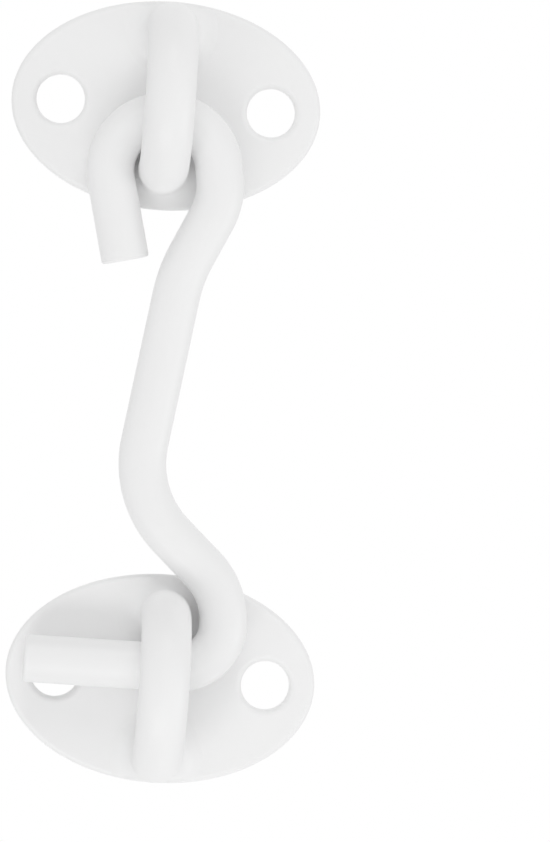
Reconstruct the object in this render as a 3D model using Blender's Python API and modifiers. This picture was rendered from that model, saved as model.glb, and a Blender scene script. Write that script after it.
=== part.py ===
# Hook and eye latch on two oval screw plates.
# A bent wire hook hangs from a wire staple on the upper plate, and its stub
# end slips behind the arch of the staple on the lower plate.
# Metres. X runs along the plates, Z is up, and the wall is at Y = 0 behind them.
# The origin is the centre of the pivot plate's back face.

from math import acos, atan2, cos, hypot, pi, radians, sin, tan

import bmesh
import bpy

# Plates
PLATE_LENGTH = 0.0280
PLATE_HEIGHT = 0.0189
PLATE_THICKNESS = 0.0016
PLATE_FRONT_ROUNDING = 0.0005
PLATE_BACK_ROUNDING = 0.0002
SCREW_HOLE_DIAMETER = 0.0044
SCREW_HOLE_INSET = 0.00445
SCREW_HOLE_MOUTH_ROUNDING = 0.0006
SCREW_HOLE_EDGE_BREAK = 0.0002

# Place of the catch plate's centre under the pivot plate's centre
CATCH_OFFSET = 0.0029
CATCH_DROP = 0.0518

# Wire of the hook and of the two staples
HOOK_WIRE = 0.0043
STAPLE_WIRE = 0.0045
WIRE_END_ROUNDING = 0.0003

# Legs of the staples: from the plate's rim to the middle of the leg that is
# nearer the other plate, and of the leg that is farther from it
NEAR_LEG_INSET = 0.0036
FAR_LEG_INSET = 0.0025

# Riveted ends of the staples
TENON_DIAMETER = 0.0026
TENON_CLEARANCE = 0.0003
SHOULDER_GAP = 0.0003
RIVET_HEAD_DEPTH = 0.00045
RIVET_HEAD_RECESS = 0.0001
TENON_ROOT = 0.0010

# Fits of the hook
HOOK_PLATE_GAP = 0.00035
PIVOT_CLEARANCE = 0.0005
HANGING_SLACK = 0.00013
SIDE_SLACK = 0.00015
STUB_LEG_GAP = 0.00025
ELBOW_STAPLE_GAP = 0.0008

# Hook outline: offsets from the centre of the round pivot end
TIP_END = (-0.0030, -0.0083)
NECK_CORNER = (0.0053, -0.0023)
NECK_RADIUS = 0.0060
SHANK_TOP_CORNER = (0.00205, -0.0093)
SHANK_TOP_RADIUS = 0.0130

# Hook outline: offsets from the corner of the elbow
KNEE_CORNER = (-0.00885, 0.0152)
KNEE_RADIUS = 0.0093
WRIST_CORNER = (0.0, 0.0071)
WRIST_RADIUS = 0.0066
ELBOW_RADIUS = 0.0040

# Length of stub past the middle of the catch staple
STUB_REACH = 0.0125

# Fineness of the facets
WIRE_SIDES = 24
BEND_STEP = radians(8)
RIM_SEGMENTS = 96
HOLE_SEGMENTS = 40
ROUNDING_SEGMENTS = 3

# How far a cutter runs past the face that it cuts, and how far the rounded
# mouth of a hole does
CUT_PAST = 0.0005
MOUTH_PAST = 0.00002

# Worked out from the sizes above
HOOK_RADIUS = HOOK_WIRE / 2
STAPLE_RADIUS = STAPLE_WIRE / 2
SCREW_HOLE_OFFSET = PLATE_LENGTH / 2 - SCREW_HOLE_INSET
LEG_OFFSET = (PLATE_HEIGHT - NEAR_LEG_INSET - FAR_LEG_INSET) / 2
EYE_SHIFT = (NEAR_LEG_INSET - FAR_LEG_INSET) / 2
HOOK_HEIGHT = PLATE_THICKNESS + HOOK_PLATE_GAP + HOOK_RADIUS
SHOULDER_HEIGHT = PLATE_THICKNESS + SHOULDER_GAP
PIVOT_RADIUS = STAPLE_RADIUS + HOOK_RADIUS + PIVOT_CLEARANCE
TENON_HOLE_RADIUS = TENON_DIAMETER / 2 + TENON_CLEARANCE

# Pieces are drawn lying on their backs, with height above the wall along
# their own Z, and stand up against the wall by a quarter turn about X.
STAND_UP = (pi / 2, 0, 0)

WHITE = (0.86, 0.86, 0.85, 1.0)


def clear_scene():
    for item in list(bpy.data.objects):
        bpy.data.objects.remove(item, do_unlink=True)


def make_collection(name):
    collection = bpy.data.collections.new(name)
    bpy.context.scene.collection.children.link(collection)
    return collection


def white_paint(name, roughness):
    material = bpy.data.materials.new(name)
    material.use_nodes = True
    shader = material.node_tree.nodes["Principled BSDF"]
    shader.inputs["Base Color"].default_value = WHITE
    shader.inputs["Roughness"].default_value = roughness
    shader.inputs["Metallic"].default_value = 0.0
    return material


def add_object(name, data, collection, place):
    item = bpy.data.objects.new(name, data)
    item.location = place
    item.rotation_euler = STAND_UP
    collection.objects.link(item)
    return item


def on_circle(centre, radius, angle):
    return (centre[0] + radius * cos(angle), centre[1] + radius * sin(angle))


def arc(centre, radius, start, end, steps):
    # Points from the start angle to the end angle, both included.
    return [on_circle(centre, radius, start + (end - start) * i / steps) for i in range(steps + 1)]


def wire_arc(centre, radius, start, end):
    return arc(centre, radius, start, end, max(2, round(abs(end - start) / BEND_STEP)))


def bend(before, corner, after, radius):
    # The arc that rounds a corner between two straight runs of wire.
    run_in = (corner[0] - before[0], corner[1] - before[1])
    run_out = (after[0] - corner[0], after[1] - corner[1])
    heading_in = atan2(run_in[1], run_in[0])
    heading_out = atan2(run_out[1], run_out[0])
    turn = (heading_out - heading_in + pi) % (2 * pi) - pi
    side = 1 if turn > 0 else -1
    setback = radius * tan(abs(turn) / 2)
    tangent = (corner[0] - setback * cos(heading_in), corner[1] - setback * sin(heading_in))
    start = heading_in - side * pi / 2
    centre = (tangent[0] - radius * cos(start), tangent[1] - radius * sin(start))
    return wire_arc(centre, radius, start, start + turn)


def tangent_angle(centre, radius, point, side):
    # Where a straight line from the point touches the circle.
    away = (point[0] - centre[0], point[1] - centre[1])
    return atan2(away[1], away[0]) + side * acos(radius / hypot(away[0], away[1]))


def shift(point, offset):
    return (point[0] + offset[0], point[1] + offset[1])


def wire_curve(name, points, radius):
    # A round wire with filled ends along a list of points.
    curve = bpy.data.curves.new(name, "CURVE")
    curve.dimensions = "3D"
    curve.fill_mode = "FULL"
    curve.bevel_depth = radius
    curve.bevel_resolution = WIRE_SIDES // 2 - 2
    curve.use_fill_caps = True
    spline = curve.splines.new("POLY")
    spline.points.add(len(points) - 1)
    for target, point in zip(spline.points, points):
        target.co = (*point, 1.0)
    return curve


def round_wire_ends(item):
    weld = item.modifiers.new("Weld caps", "WELD")
    weld.merge_threshold = 0.00001
    rounding = item.modifiers.new("Round cut ends", "BEVEL")
    rounding.width = WIRE_END_ROUNDING
    rounding.segments = ROUNDING_SEGMENTS
    rounding.limit_method = "ANGLE"
    rounding.angle_limit = radians(60)


def turned(name, profile, place, collection):
    # A turned shape from (radius, height) points, listed from its top down.
    mesh = bpy.data.meshes.new(name)
    bm = bmesh.new()
    corners = [bm.verts.new((radius, 0, height)) for radius, height in profile]
    for first, second in zip(corners, corners[1:]):
        bm.edges.new((first, second))
    bm.to_mesh(mesh)
    bm.free()
    item = add_object(name, mesh, collection, place)
    screw = item.modifiers.new("Turn", "SCREW")
    screw.axis = "Z"
    screw.angle = 2 * pi
    screw.steps = HOLE_SEGMENTS
    screw.render_steps = HOLE_SEGMENTS
    screw.use_merge_vertices = True
    screw.merge_threshold = 0.00001
    item.hide_render = True
    item.display_type = "WIRE"
    return item


def shade_round(mesh):
    mesh.shade_smooth()
    mesh.set_sharp_from_angle(angle=radians(40))


def combine(item, other, operation):
    boolean = item.modifiers.new(other.name, "BOOLEAN")
    boolean.operation = operation
    boolean.solver = "EXACT"
    boolean.object = other


def screw_hole_cutter(name, place):
    # Straight through, with a rounded mouth in front and a broken edge behind.
    radius = SCREW_HOLE_DIAMETER / 2
    rounding = SCREW_HOLE_MOUTH_ROUNDING
    mouth_radius = radius + rounding
    mouth_centre = (mouth_radius, PLATE_THICKNESS + MOUTH_PAST - rounding)
    profile = [(0, PLATE_THICKNESS + CUT_PAST), (mouth_radius, PLATE_THICKNESS + CUT_PAST)]
    profile += arc(mouth_centre, rounding, pi / 2, pi, ROUNDING_SEGMENTS)
    profile += [
        (radius, SCREW_HOLE_EDGE_BREAK),
        (radius + SCREW_HOLE_EDGE_BREAK + CUT_PAST, -CUT_PAST),
        (0, -CUT_PAST),
    ]
    return turned(name, profile, place, cutters)


def tenon_hole_cutter(name, place):
    # A plain hole that opens into a countersink at the back of the plate.
    profile = [
        (0, PLATE_THICKNESS + CUT_PAST),
        (TENON_HOLE_RADIUS, PLATE_THICKNESS + CUT_PAST),
        (TENON_HOLE_RADIUS, RIVET_HEAD_DEPTH),
        (TENON_HOLE_RADIUS + RIVET_HEAD_DEPTH + CUT_PAST, -CUT_PAST),
        (0, -CUT_PAST),
    ]
    return turned(name, profile, place, cutters)


def tenon(name, place):
    # The thin end of a staple's leg, hammered out into the countersink.
    radius = TENON_DIAMETER / 2
    profile = [
        (0, SHOULDER_HEIGHT + TENON_ROOT),
        (radius, SHOULDER_HEIGHT + TENON_ROOT),
        (radius, RIVET_HEAD_DEPTH),
        (radius + RIVET_HEAD_DEPTH - RIVET_HEAD_RECESS, RIVET_HEAD_RECESS),
        (0, RIVET_HEAD_RECESS),
    ]
    return turned(name, profile, place, cutters)


def round_edges_at(bm, height, rounding):
    edges = [e for e in bm.edges if all(abs(v.co.z - height) < 1e-7 for v in e.verts)]
    bmesh.ops.bevel(
        bm, geom=edges, offset=rounding, segments=ROUNDING_SEGMENTS,
        profile=0.5, affect="EDGES", material=-1,
    )


def oval_plate(name, centre, eye, material):
    # An oval stamping with two screw holes and two holes for the staple.
    bm = bmesh.new()
    bmesh.ops.create_cone(
        bm, cap_ends=True, segments=RIM_SEGMENTS, radius1=1, radius2=1, depth=PLATE_THICKNESS,
    )
    bmesh.ops.translate(bm, verts=bm.verts, vec=(0, 0, PLATE_THICKNESS / 2))
    bmesh.ops.scale(bm, verts=bm.verts, vec=(PLATE_LENGTH / 2, PLATE_HEIGHT / 2, 1))
    round_edges_at(bm, PLATE_THICKNESS, PLATE_FRONT_ROUNDING)
    round_edges_at(bm, 0, PLATE_BACK_ROUNDING)
    mesh = bpy.data.meshes.new(name)
    bm.to_mesh(mesh)
    bm.free()
    shade_round(mesh)
    plate = add_object(name, mesh, latch, centre)
    mesh.materials.append(material)
    for side, word in ((-1, "left"), (1, "right")):
        place = (centre[0] + side * SCREW_HOLE_OFFSET, 0, centre[2])
        combine(plate, screw_hole_cutter(f"{name}_{word}_screw_hole", place), "DIFFERENCE")
    for side, word in ((-1, "lower"), (1, "upper")):
        place = (eye[0], 0, eye[2] + side * LEG_OFFSET)
        combine(plate, tenon_hole_cutter(f"{name}_{word}_tenon_hole", place), "DIFFERENCE")
    return plate


def wire_staple(name, eye, material):
    # A wire eye that stands on a plate, riveted through it at both feet. Its
    # half-round arch starts level with the middle of the hook's wire.
    route = [(-LEG_OFFSET, SHOULDER_HEIGHT)]
    route += wire_arc((0, HOOK_HEIGHT), LEG_OFFSET, pi, 0)
    route.append((LEG_OFFSET, SHOULDER_HEIGHT))
    curve = wire_curve(name, [(0, y, z) for y, z in route], STAPLE_RADIUS)
    sweep = add_object(name + "_sweep", curve, cutters, eye)
    depsgraph = bpy.context.evaluated_depsgraph_get()
    mesh = bpy.data.meshes.new_from_object(sweep.evaluated_get(depsgraph))
    bm = bmesh.new()
    bm.from_mesh(mesh)
    bmesh.ops.remove_doubles(bm, verts=bm.verts, dist=0.000001)
    bm.to_mesh(mesh)
    bm.free()
    shade_round(mesh)
    staple = bpy.data.objects.new(name, mesh)
    latch.objects.link(staple)
    bpy.context.view_layer.update()
    staple.matrix_world = sweep.matrix_world
    bpy.data.objects.remove(sweep, do_unlink=True)
    mesh.materials.clear()
    mesh.materials.append(material)
    for side, word in ((-1, "lower"), (1, "upper")):
        place = (eye[0], 0, eye[2] + side * LEG_OFFSET)
        combine(staple, tenon(f"{name}_{word}_tenon", place), "UNION")
    return staple


def wire_hook(name, pivot, elbow, stub_end, material):
    # One bent wire: round pivot end, shank, knee, wrist, elbow and stub.
    # Its origin is on the leg of the staple that it swings about.
    eye = (SIDE_SLACK, -HANGING_SLACK)
    tip = shift(eye, TIP_END)
    neck = shift(eye, NECK_CORNER)
    shank_top = shift(eye, SHANK_TOP_CORNER)
    elbow = (elbow[0] - pivot[0], elbow[1] - pivot[1])
    stub_end = (stub_end[0] - pivot[0], stub_end[1] - pivot[1])
    knee = shift(elbow, KNEE_CORNER)
    wrist = shift(elbow, WRIST_CORNER)
    touch_tip = tangent_angle(eye, PIVOT_RADIUS, tip, -1) % (2 * pi)
    touch_neck = tangent_angle(eye, PIVOT_RADIUS, neck, 1)
    route = [tip]
    route += wire_arc(eye, PIVOT_RADIUS, touch_tip, touch_neck)
    route += bend(on_circle(eye, PIVOT_RADIUS, touch_neck), neck, shank_top, NECK_RADIUS)
    route += bend(neck, shank_top, knee, SHANK_TOP_RADIUS)
    route += bend(shank_top, knee, wrist, KNEE_RADIUS)
    route += bend(knee, wrist, elbow, WRIST_RADIUS)
    route += bend(wrist, elbow, stub_end, ELBOW_RADIUS)
    route.append(stub_end)
    curve = wire_curve(name, [(x, y, HOOK_HEIGHT) for x, y in route], HOOK_RADIUS)
    curve.materials.append(material)
    hook = add_object(name, curve, latch, (pivot[0], 0, pivot[1]))
    round_wire_ends(hook)
    return hook


clear_scene()
latch = make_collection("hook_and_eye_latch")
cutters = make_collection("cutters")

pivot_centre = (0, 0, 0)
catch_centre = (CATCH_OFFSET, 0, -CATCH_DROP)
pivot_eye = (0, 0, EYE_SHIFT)
catch_eye = (CATCH_OFFSET, 0, -CATCH_DROP - EYE_SHIFT)
pivot_leg = (0, pivot_eye[2] - LEG_OFFSET)
catch_leg = (CATCH_OFFSET, catch_eye[2] + LEG_OFFSET)
stub_level = catch_leg[1] - STAPLE_RADIUS - STUB_LEG_GAP - HOOK_RADIUS
elbow_corner = (CATCH_OFFSET + STAPLE_RADIUS + ELBOW_STAPLE_GAP + HOOK_RADIUS, stub_level)
stub_tip = (CATCH_OFFSET - STUB_REACH, stub_level)

oval_plate("pivot_plate", pivot_centre, pivot_eye, white_paint("pivot_plate_paint", 0.4))
wire_staple("pivot_staple", pivot_eye, white_paint("pivot_staple_paint", 0.35))
oval_plate("catch_plate", catch_centre, catch_eye, white_paint("catch_plate_paint", 0.4))
wire_staple("catch_staple", catch_eye, white_paint("catch_staple_paint", 0.35))
wire_hook("hook", pivot_leg, elbow_corner, stub_tip, white_paint("hook_paint", 0.35))
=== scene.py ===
from math import acos, atan2, cos, hypot, pi, radians, sin, tan

import bmesh
import bpy
from mathutils import Euler, Matrix, Vector


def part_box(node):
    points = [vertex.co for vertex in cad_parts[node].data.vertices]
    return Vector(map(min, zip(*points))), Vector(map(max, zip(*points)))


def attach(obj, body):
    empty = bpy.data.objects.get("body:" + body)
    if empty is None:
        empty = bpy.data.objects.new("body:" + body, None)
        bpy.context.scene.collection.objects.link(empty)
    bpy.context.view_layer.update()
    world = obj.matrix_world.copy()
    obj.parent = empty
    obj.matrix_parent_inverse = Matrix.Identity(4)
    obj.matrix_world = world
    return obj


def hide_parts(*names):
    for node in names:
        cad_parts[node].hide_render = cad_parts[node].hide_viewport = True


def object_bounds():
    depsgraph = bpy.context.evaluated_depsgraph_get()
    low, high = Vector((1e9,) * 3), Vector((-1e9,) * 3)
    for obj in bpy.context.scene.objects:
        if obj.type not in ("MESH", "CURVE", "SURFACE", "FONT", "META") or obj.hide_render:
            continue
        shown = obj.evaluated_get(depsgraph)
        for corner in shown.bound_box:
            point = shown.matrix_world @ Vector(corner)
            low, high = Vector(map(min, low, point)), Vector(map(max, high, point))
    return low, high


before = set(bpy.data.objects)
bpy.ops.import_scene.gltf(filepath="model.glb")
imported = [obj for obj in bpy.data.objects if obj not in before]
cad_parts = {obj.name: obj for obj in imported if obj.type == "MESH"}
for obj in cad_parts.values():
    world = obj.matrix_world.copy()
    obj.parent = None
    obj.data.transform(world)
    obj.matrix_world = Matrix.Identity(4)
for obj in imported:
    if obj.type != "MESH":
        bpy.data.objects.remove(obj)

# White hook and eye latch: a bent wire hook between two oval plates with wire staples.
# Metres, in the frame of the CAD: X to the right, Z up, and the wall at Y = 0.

cad_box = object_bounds()

MM = 0.001

# Fineness of the modelled surfaces
WIRE_SIDES = 64
BEND_STEP = radians(2.5)
OVAL_SEGMENTS = 240
HOLE_SEGMENTS = 96
ROLL_SEGMENTS = 8
BACK_ROLL_SEGMENTS = 3
COUNTERSINK_SEGMENTS = 1

# Wire and its places, as in the CAD
HOOK_WIRE = 4.3 * MM
STAPLE_WIRE = 4.5 * MM
HOOK_HEIGHT = 4.1 * MM
LEG_OFFSET = 6.4 * MM
PIVOT_RADIUS = 4.9 * MM
HANGING_SLACK = 0.13 * MM
SIDE_SLACK = 0.15 * MM

# Hook outline: offsets from the centre of the round pivot end
TIP_END = (-3.0 * MM, -8.3 * MM)
NECK_CORNER = (5.3 * MM, -2.3 * MM)
NECK_RADIUS = 6.0 * MM
SHANK_TOP_CORNER = (2.05 * MM, -9.3 * MM)
SHANK_TOP_RADIUS = 13.0 * MM

# Hook outline: offsets from the corner of the elbow
KNEE_CORNER = (-8.85 * MM, 15.2 * MM)
KNEE_RADIUS = 9.3 * MM
WRIST_CORNER = (0.0, 7.1 * MM)
WRIST_RADIUS = 6.6 * MM
ELBOW_RADIUS = 4.0 * MM

# Cut ends of the hook
END_ROUNDING = 0.25 * MM

# Plates: rolled rims and screw holes
RIM_FRONT_ROUNDING = 0.5 * MM
RIM_BACK_ROUNDING = 0.2 * MM
HOLE_RADIUS = 2.2 * MM
HOLE_PITCH = 19.1 * MM
MOUTH_ROUNDING = 0.6 * MM

# Feet of the staples: a rivet head at the back and a fillet at the front,
# which sinks a little into the plate and keeps a margin from its rim
TENON_RADIUS = 1.3 * MM
RIVET_HEAD_RADIUS = 1.65 * MM
RIVET_HEAD_DEPTH = 0.45 * MM
RIVET_RECESS = 0.08 * MM
RIVET_DOME = 0.12 * MM
FOOT_FILLET = 2.0 * MM
FOOT_SINK = 0.1 * MM
FOOT_MARGIN = 0.2 * MM

# How an edge or a face is told apart
LEVEL_TOLERANCE = 0.001 * MM
OVAL_TOLERANCE = 0.002
FLAT_NORMAL = 0.999
SHARP_ANGLE = radians(40)

# A positive turn in the hook's flat outline is about -Y, seen from the front
OUTLINE_AXIS = Vector((0, -1, 0))


def plan(point):
    # A point of the hook's flat outline, as a point in the frame.
    return Vector((point[0], -HOOK_HEIGHT, point[1]))


def shift(point, offset):
    return (point[0] + offset[0], point[1] + offset[1])


def edges_between(bm, verts):
    chosen = set(verts)
    return [e for e in bm.edges if e.verts[0] in chosen and e.verts[1] in chosen]


def new_piece(name, bm, body, replaced, material):
    bmesh.ops.recalc_face_normals(bm, faces=bm.faces)
    mesh = bpy.data.meshes.new(name)
    bm.to_mesh(mesh)
    bm.free()
    mesh.materials.append(material)
    piece = bpy.data.objects.new(name, mesh)
    bpy.context.scene.collection.objects.link(piece)
    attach(piece, body)
    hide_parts(replaced)
    return piece


def open_wire(bm, start, heading, radius):
    # The first ring of a wire, square to its heading. Returns the ring's edges.
    turn = heading.to_track_quat("Z", "Y").to_matrix().to_4x4()
    ring = bmesh.ops.create_circle(
        bm, cap_ends=False, radius=radius, segments=WIRE_SIDES,
        matrix=Matrix.Translation(start) @ turn,
    )
    return edges_between(bm, ring["verts"])


def ring_verts(ring):
    return list(dict.fromkeys(v for e in ring for v in e.verts))


def ring_centre(ring):
    verts = ring_verts(ring)
    return sum((v.co for v in verts), Vector()) / len(verts)


def feed(bm, ring, move, widen=1.0):
    # Draws the wire straight on by a move, and widens or narrows its new ring.
    made = bmesh.ops.extrude_edge_only(bm, edges=ring)["geom"]
    verts = [g for g in made if isinstance(g, bmesh.types.BMVert)]
    new = set(verts)
    centre = sum((v.co for v in verts), Vector()) / len(verts)
    for v in verts:
        v.co = centre + (v.co - centre) * widen + move
    return [g for g in made if isinstance(g, bmesh.types.BMEdge)
            and g.verts[0] in new and g.verts[1] in new]


def feed_to(bm, ring, point):
    # Draws the wire straight on to a point of the hook's flat outline.
    return feed(bm, ring, plan(point) - ring_centre(ring))


def turn_wire(bm, ring, centre, axis, angle):
    # Bends the wire on about an axis through the centre of the bend.
    steps = max(2, round(abs(angle) / BEND_STEP))
    made = bmesh.ops.spin(
        bm, geom=ring_verts(ring) + ring, cent=centre, axis=axis, dvec=(0, 0, 0),
        angle=angle, steps=steps, use_merge=False, use_duplicate=False,
    )
    return [g for g in made["geom_last"] if isinstance(g, bmesh.types.BMEdge)]


def close_wire(bm, ring, rounding=0):
    # Fills an open end, and rounds its edge where it is a cut end.
    bmesh.ops.holes_fill(bm, edges=ring, sides=WIRE_SIDES)
    if rounding:
        bmesh.ops.bevel(
            bm, geom=ring, offset=rounding, segments=ROLL_SEGMENTS, profile=0.5,
            affect="EDGES", material=-1,
        )


def smooth_faces(bm):
    # The wire's walls are smooth, and the many-sided faces at its ends stay flat.
    for face in bm.faces:
        face.smooth = len(face.verts) <= 4


def corner_arc(before, corner, after, radius):
    # Start, centre and turn of the arc that rounds a corner of the outline.
    heading_in = atan2(corner[1] - before[1], corner[0] - before[0])
    heading_out = atan2(after[1] - corner[1], after[0] - corner[0])
    turn = (heading_out - heading_in + pi) % (2 * pi) - pi
    side = 1 if turn > 0 else -1
    setback = radius * tan(abs(turn) / 2)
    start = shift(corner, (-setback * cos(heading_in), -setback * sin(heading_in)))
    centre = shift(start, (-side * radius * sin(heading_in), side * radius * cos(heading_in)))
    return start, centre, turn


def touch_angle(centre, radius, point, side):
    # The angle at which a straight line from the point touches the circle.
    away = (point[0] - centre[0], point[1] - centre[1])
    return atan2(away[1], away[0]) + side * acos(radius / hypot(away[0], away[1]))


def on_circle(centre, radius, angle):
    return shift(centre, (radius * cos(angle), radius * sin(angle)))


def build_hook(material):
    low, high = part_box("hook")
    radius = HOOK_WIRE / 2
    elbow = (high.x - radius, low.z + radius)
    stub_end = (low.x, elbow[1])
    staple_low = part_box("pivot_staple")[0]
    eye = (SIDE_SLACK, staple_low.z + STAPLE_WIRE / 2 - HANGING_SLACK)
    tip = shift(eye, TIP_END)
    neck = shift(eye, NECK_CORNER)
    shank_top = shift(eye, SHANK_TOP_CORNER)
    knee = shift(elbow, KNEE_CORNER)
    wrist = shift(elbow, WRIST_CORNER)
    touch_tip = touch_angle(eye, PIVOT_RADIUS, tip, -1) % (2 * pi)
    touch_neck = touch_angle(eye, PIVOT_RADIUS, neck, 1)
    eye_in = on_circle(eye, PIVOT_RADIUS, touch_tip)
    eye_out = on_circle(eye, PIVOT_RADIUS, touch_neck)
    bm = bmesh.new()
    first = open_wire(bm, plan(tip), (plan(eye_in) - plan(tip)).normalized(), radius)
    ring = feed_to(bm, first, eye_in)
    ring = turn_wire(bm, ring, plan(eye), OUTLINE_AXIS, touch_neck - touch_tip)
    outline = [eye_out, neck, shank_top, knee, wrist, elbow, stub_end]
    radii = [NECK_RADIUS, SHANK_TOP_RADIUS, KNEE_RADIUS, WRIST_RADIUS, ELBOW_RADIUS]
    for i, bend_radius in enumerate(radii):
        start, centre, turn = corner_arc(*outline[i:i + 3], bend_radius)
        ring = feed_to(bm, ring, start)
        ring = turn_wire(bm, ring, plan(centre), OUTLINE_AXIS, turn)
    last = feed_to(bm, ring, stub_end)
    close_wire(bm, first, END_ROUNDING)
    close_wire(bm, last, END_ROUNDING)
    smooth_faces(bm)
    new_piece("coated_hook", bm, "swinging_hook", "hook", material)


def foot_profile(front):
    # Radius and height above the wall, from the rivet head up to the plain wire.
    wire = STAPLE_WIRE / 2
    profile = []
    for i in range(1, ROLL_SEGMENTS + 1):
        across = i / ROLL_SEGMENTS
        profile.append((RIVET_HEAD_RADIUS * across, RIVET_RECESS + RIVET_DOME * across ** 2))
    profile += [
        (TENON_RADIUS, RIVET_HEAD_DEPTH),
        (TENON_RADIUS, front - FOOT_SINK),
        (wire + FOOT_FILLET, front - FOOT_SINK),
    ]
    for i in range(ROLL_SEGMENTS + 1):
        angle = pi / 2 * i / ROLL_SEGMENTS
        profile.append((
            wire + FOOT_FILLET * (1 - sin(angle)),
            front + FOOT_FILLET * (1 - cos(angle)),
        ))
    return profile


def keep_on_plate(bm, ring, middle, reach_x, reach_z):
    # Pulls in the part of a ring that would stand over the plate's rim.
    for v in ring_verts(ring):
        x = v.co.x - middle.x
        z = v.co.z - middle.z
        over = hypot(x / reach_x, z / reach_z)
        if over > 1:
            v.co.x = middle.x + x / over
            v.co.z = middle.z + z / over


def build_staple(name, node, plate, material):
    low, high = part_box(node)
    plate_low, plate_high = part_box(plate)
    front = -plate_low.y
    x = (low.x + high.x) / 2
    z = (low.z + high.z) / 2
    middle = (plate_low + plate_high) / 2
    reach = (plate_high - plate_low) / 2 - Vector((1, 1, 1)) * FOOT_MARGIN
    profile = foot_profile(front)
    bm = bmesh.new()
    foot = Vector((x, -profile[0][1], z - LEG_OFFSET))
    first = open_wire(bm, foot, Vector((0, -1, 0)), profile[0][0])
    ring = first
    rings = []
    for (r0, h0), (r1, h1) in zip(profile, profile[1:]):
        ring = feed(bm, ring, Vector((0, h0 - h1, 0)), widen=r1 / r0)
        rings.append(ring)
    straight = Vector((0, profile[-1][1] - HOOK_HEIGHT, 0))
    ring = feed(bm, ring, straight)
    ring = turn_wire(bm, ring, Vector((x, -HOOK_HEIGHT, z)), Vector((1, 0, 0)), -pi)
    ring = feed(bm, ring, -straight)
    rings.append(ring)
    for (r0, h0), (r1, h1) in zip(profile[::-1], profile[-2::-1]):
        ring = feed(bm, ring, Vector((0, h0 - h1, 0)), widen=r1 / r0)
        rings.append(ring)
    for foot_ring in rings:
        keep_on_plate(bm, foot_ring, middle, reach.x, reach.z)
    close_wire(bm, first)
    close_wire(bm, ring)
    smooth_faces(bm)
    piece = new_piece(name, bm, "mounted_plates", node, material)
    piece.data.set_sharp_from_angle(angle=SHARP_ANGLE)


def draw_oval(bm, centre, radius_x, radius_z, segments):
    # An oval of edges in the plate's plane.
    lie = Matrix.Translation(centre) @ Matrix.Rotation(pi / 2, 4, "X")
    made = bmesh.ops.create_circle(
        bm, cap_ends=False, radius=1, segments=segments,
        matrix=lie @ Matrix.Diagonal((radius_x, radius_z, 1, 1)),
    )
    return edges_between(bm, made["verts"])


def roll_edge(bm, centre, radius_x, radius_z, rounding, segments):
    # Rolls the sharp edge that runs round an oval at the centre's height.
    edges = []
    for e in bm.edges:
        points = [v.co - centre for v in e.verts]
        if any(abs(p.y) > LEVEL_TOLERANCE for p in points):
            continue
        shares = [hypot(p.x / radius_x, p.z / radius_z) for p in points]
        if all(abs(share - 1) < OVAL_TOLERANCE for share in shares):
            edges.append(e)
    bmesh.ops.bevel(
        bm, geom=edges, offset=rounding, segments=segments, profile=0.5,
        affect="EDGES", material=-1,
    )


def build_plate(name, node, staple, material):
    low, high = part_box(node)
    staple_low, staple_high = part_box(staple)
    centre = (low + high) / 2
    eye_lift = Vector((0, 0, (staple_low.z + staple_high.z) / 2 - centre.z))
    back = Vector((centre.x, high.y, centre.z))
    front = Vector((centre.x, low.y, centre.z))
    half = (high - low) / 2
    pitch = Vector((HOLE_PITCH / 2, 0, 0))
    leg = Vector((0, 0, LEG_OFFSET))
    bm = bmesh.new()
    edges = draw_oval(bm, back, half.x, half.z, OVAL_SEGMENTS)
    for side in (-1, 1):
        edges += draw_oval(bm, back + side * pitch, HOLE_RADIUS, HOLE_RADIUS, HOLE_SEGMENTS)
        foot = back + eye_lift + side * leg
        edges += draw_oval(bm, foot, TENON_RADIUS, TENON_RADIUS, WIRE_SIDES)
    bmesh.ops.triangle_fill(bm, edges=edges, use_beauty=True)
    raised = bmesh.ops.extrude_face_region(bm, geom=list(bm.faces), use_keep_orig=True)
    verts = [g for g in raised["geom"] if isinstance(g, bmesh.types.BMVert)]
    bmesh.ops.translate(bm, verts=verts, vec=front - back)
    roll_edge(bm, front, half.x, half.z, RIM_FRONT_ROUNDING, ROLL_SEGMENTS)
    roll_edge(bm, back, half.x, half.z, RIM_BACK_ROUNDING, BACK_ROLL_SEGMENTS)
    for side in (-1, 1):
        mouth = front + side * pitch
        roll_edge(bm, mouth, HOLE_RADIUS, HOLE_RADIUS, MOUTH_ROUNDING, ROLL_SEGMENTS)
        mouth = back + side * pitch
        roll_edge(bm, mouth, HOLE_RADIUS, HOLE_RADIUS, RIM_BACK_ROUNDING, BACK_ROLL_SEGMENTS)
        foot = back + eye_lift + side * leg
        roll_edge(bm, foot, TENON_RADIUS, TENON_RADIUS, RIVET_HEAD_DEPTH, COUNTERSINK_SEGMENTS)
    for face in bm.faces:
        face.smooth = abs(face.normal.y) < FLAT_NORMAL
    new_piece(name, bm, "mounted_plates", node, material)


# White powder coat: a slow drift in tone and gloss, and a faint orange peel.
# The gloss drifts over the span that the noise mostly keeps to.
COAT_TONES = ("#F1F1F1", "#F3F3F3")
COAT_ROUGHNESS = (0.38, 0.46)
COAT_IOR = 1.5
COAT_SPECULAR = 0.35
DRIFT_SIZE = 9 * MM
DRIFT_SPAN = (0.3, 0.7)
PEEL_SIZE = 0.9 * MM
PEEL_DEPTH = 0.05 * MM
PEEL_STRENGTH = 0.3


def srgb(text):
    # A colour written as sRGB hex, as linear light.
    channels = [int(text[i:i + 2], 16) / 255 for i in (1, 3, 5)]
    return [c / 12.92 if c <= 0.04045 else ((c + 0.055) / 1.055) ** 2.4 for c in channels] + [1.0]


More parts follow.
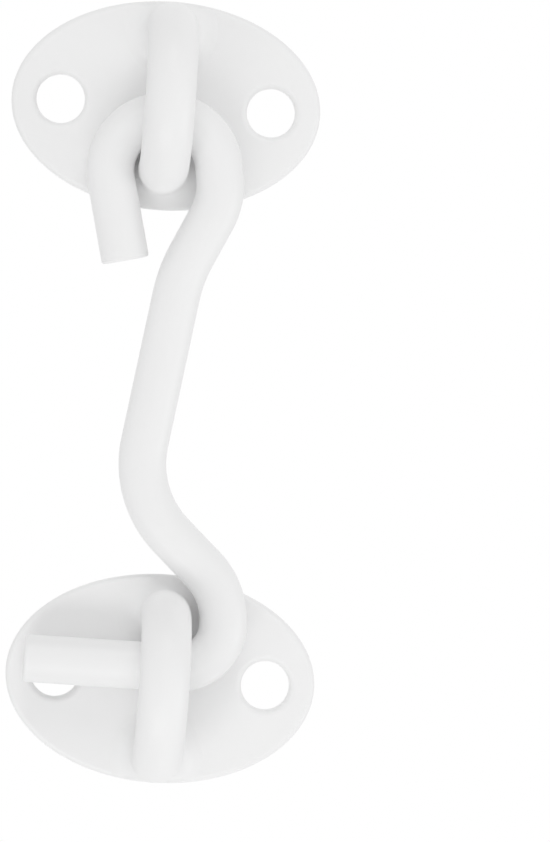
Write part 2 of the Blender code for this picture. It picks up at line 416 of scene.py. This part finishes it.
def add_node(tree, kind, settings=None, **links):
    # A node with its settings, and sockets filled by a value or another node's output.
    node = tree.nodes.new(kind)
    for key, value in (settings or {}).items():
        setattr(node, key, value)
    for socket, value in links.items():
        target = node.inputs[socket.replace("_", " ")]
        if isinstance(value, bpy.types.NodeSocket):
            tree.links.new(value, target)
        else:
            target.default_value = value
    return node


def powder_coat():
    # Polyester powder coat on steel wire, baked to a satin white skin with a
    # faint orange peel. It gives soft, wide highlights and clean shadows.
    material = bpy.data.materials.new("white_powder_coat")
    material.use_nodes = True
    tree = material.node_tree
    shader = tree.nodes["Principled BSDF"]
    where = add_node(tree, "ShaderNodeTexCoord").outputs["Object"]
    drift = add_node(tree, "ShaderNodeTexNoise", Vector=where, Scale=1 / DRIFT_SIZE, Detail=2.0)
    tone = add_node(tree, "ShaderNodeValToRGB", Fac=drift.outputs["Fac"])
    for stop, colour in zip(tone.color_ramp.elements, COAT_TONES):
        stop.color = srgb(colour)
    satin = add_node(
        tree, "ShaderNodeMapRange", Value=drift.outputs["Fac"],
        From_Min=DRIFT_SPAN[0], From_Max=DRIFT_SPAN[1],
        To_Min=COAT_ROUGHNESS[0], To_Max=COAT_ROUGHNESS[1],
    )
    peel = add_node(tree, "ShaderNodeTexNoise", Vector=where, Scale=1 / PEEL_SIZE, Detail=1.0)
    bump = add_node(
        tree, "ShaderNodeBump", Height=peel.outputs["Fac"],
        Strength=PEEL_STRENGTH, Distance=PEEL_DEPTH,
    )
    tree.links.new(tone.outputs["Color"], shader.inputs["Base Color"])
    tree.links.new(satin.outputs["Result"], shader.inputs["Roughness"])
    tree.links.new(bump.outputs["Normal"], shader.inputs["Normal"])
    shader.inputs["IOR"].default_value = COAT_IOR
    shader.inputs["Specular IOR Level"].default_value = COAT_SPECULAR
    return material


coat = powder_coat()
build_hook(coat)
build_staple("coated_pivot_staple", "pivot_staple", "pivot_plate", coat)
build_staple("coated_catch_staple", "catch_staple", "catch_plate", coat)
build_plate("coated_pivot_plate", "pivot_plate", "pivot_staple", coat)
build_plate("coated_catch_plate", "catch_plate", "catch_staple", coat)


# Stage: the floor's place and size in metres, its paper and the plain fill light
FLOOR_DROP = 0.3
FLOOR_SIZE = 8.0
PAPER_WHITE = "#F4F4F4"
FLOOR_LIFT = 0.33
FILL_STRENGTH = 0.74

# White paint hands light on many times in the hollows round the wire
PAINT_BOUNCES = 12

# Soft lamps: where each stands from the latch, and its power in watts
LAMP_SIZE = 240 * MM
LAMP_DISTANCE = 420 * MM
SOFT_LAMPS = {
    "low_lamp": ((0, -0.6, -0.8), 0.34),
    "low_left_lamp": ((-0.4, -0.6, -0.8), 0.32),
    "high_lamp": ((0, -0.6, 0.8), 0.26),
    "side_lamp": ((1, -0.17, -0.2), 0.24),
}


def seen_directly(tree):
    # 1 for the rays that show the background as it is: the camera's, gloss and glass.
    path = add_node(tree, "ShaderNodeLightPath")
    seen = path.outputs["Is Camera Ray"]
    for kind in ("Is Glossy Ray", "Is Transmission Ray"):
        either = add_node(tree, "ShaderNodeMath", {"operation": "MAXIMUM"})
        tree.links.new(seen, either.inputs[0])
        tree.links.new(path.outputs[kind], either.inputs[1])
        seen = either.outputs[0]
    return seen


def pale_floor():
    # Matt white paper sweep under the latch. Seen directly it is a little lifted,
    # so that it runs into the white background and still keeps the shadow.
    material = bpy.data.materials.new("white_paper")
    material.use_nodes = True
    tree = material.node_tree
    tree.nodes.remove(tree.nodes["Principled BSDF"])
    output = tree.nodes["Material Output"]
    paper = add_node(tree, "ShaderNodeBsdfDiffuse", Color=srgb(PAPER_WHITE))
    lift = add_node(tree, "ShaderNodeMath", {"operation": "MULTIPLY"})
    tree.links.new(seen_directly(tree), lift.inputs[0])
    lift.inputs[1].default_value = FLOOR_LIFT
    glow = add_node(tree, "ShaderNodeEmission", Strength=lift.outputs[0])
    both = add_node(tree, "ShaderNodeAddShader")
    tree.links.new(paper.outputs[0], both.inputs[0])
    tree.links.new(glow.outputs[0], both.inputs[1])
    tree.links.new(both.outputs[0], output.inputs["Surface"])
    bm = bmesh.new()
    bmesh.ops.create_grid(bm, x_segments=1, y_segments=1, size=FLOOR_SIZE / 2)
    mesh = bpy.data.meshes.new("floor")
    bm.to_mesh(mesh)
    bm.free()
    mesh.materials.append(material)
    floor = bpy.data.objects.new("floor", mesh)
    bpy.context.scene.collection.objects.link(floor)
    floor.location = (0, 0, cad_box[0][2] - FLOOR_DROP)


def white_world():
    # A plain fill light, with a white background to the camera and to gloss.
    world = bpy.data.worlds.new("studio")
    bpy.context.scene.world = world
    world.use_nodes = True
    tree = world.node_tree
    output = tree.nodes["World Output"]
    fill = tree.nodes["Background"]
    fill.inputs["Color"].default_value = (1, 1, 1, 1)
    fill.inputs["Strength"].default_value = FILL_STRENGTH
    white = add_node(tree, "ShaderNodeBackground", Color=(1, 1, 1, 1), Strength=1.0)
    mix = add_node(tree, "ShaderNodeMixShader", Fac=seen_directly(tree))
    tree.links.new(fill.outputs[0], mix.inputs[1])
    tree.links.new(white.outputs[0], mix.inputs[2])
    tree.links.new(mix.outputs[0], output.inputs["Surface"])


def soft_lamp(name, direction, power, aim):
    light = bpy.data.lights.new(name, "AREA")
    light.shape = "DISK"
    light.size = LAMP_SIZE
    light.energy = power
    lamp = bpy.data.objects.new(name, light)
    bpy.context.scene.collection.objects.link(lamp)
    toward = Vector(direction).normalized()
    lamp.location = aim + toward * LAMP_DISTANCE
    lamp.rotation_euler = toward.to_track_quat("Z", "Y").to_euler()


# Camera: the photograph's view, a little from the left and slightly rolled.
# The place of the upper plate's centre is in pixels, the scale in pixels to a metre,
# the distances in metres and the sensor in millimetres.
PHOTO_SIZE = (550, 842)
PHOTO_SCALE = 11.04 / MM
PHOTO_PLATE_CENTRE = (166.25, 105.94)
CAMERA_ROLL = radians(3.8)
CAMERA_SWING = radians(3.4)
CAMERA_DISTANCE = 0.6
CAMERA_NEAR = 0.01
SENSOR_HEIGHT = 24.0


def photo_camera():
    across = (PHOTO_SIZE[0] / 2 - PHOTO_PLATE_CENTRE[0]) / PHOTO_SCALE
    down = (PHOTO_SIZE[1] / 2 - PHOTO_PLATE_CENTRE[1]) / PHOTO_SCALE
    x = across * cos(CAMERA_ROLL) + down * sin(CAMERA_ROLL)
    z = across * sin(CAMERA_ROLL) - down * cos(CAMERA_ROLL)
    plate_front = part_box("pivot_plate")[0].y
    data = bpy.data.cameras.new("camera")
    data.sensor_fit = "VERTICAL"
    data.sensor_height = SENSOR_HEIGHT
    data.lens = SENSOR_HEIGHT * CAMERA_DISTANCE / (PHOTO_SIZE[1] / PHOTO_SCALE)
    data.clip_start = CAMERA_NEAR
    camera = bpy.data.objects.new("camera", data)
    bpy.context.scene.collection.objects.link(camera)
    aim = Vector((x, plate_front, z))
    turn = Matrix.Rotation(-CAMERA_SWING, 4, "Z")
    lean = Euler((pi / 2, -CAMERA_ROLL, 0)).to_matrix().to_4x4()
    away = Matrix.Translation(turn @ Vector((0, -CAMERA_DISTANCE, 0)))
    camera.matrix_world = Matrix.Translation(aim) @ away @ turn @ lean
    bpy.context.scene.camera = camera


pale_floor()
white_world()
middle = (Vector(cad_box[0]) + Vector(cad_box[1])) / 2
for lamp_name, (direction, power) in SOFT_LAMPS.items():
    soft_lamp(lamp_name, direction, power, middle)
photo_camera()
bpy.context.scene.view_settings.view_transform = "Standard"
bpy.context.scene.cycles.diffuse_bounces = PAINT_BOUNCES
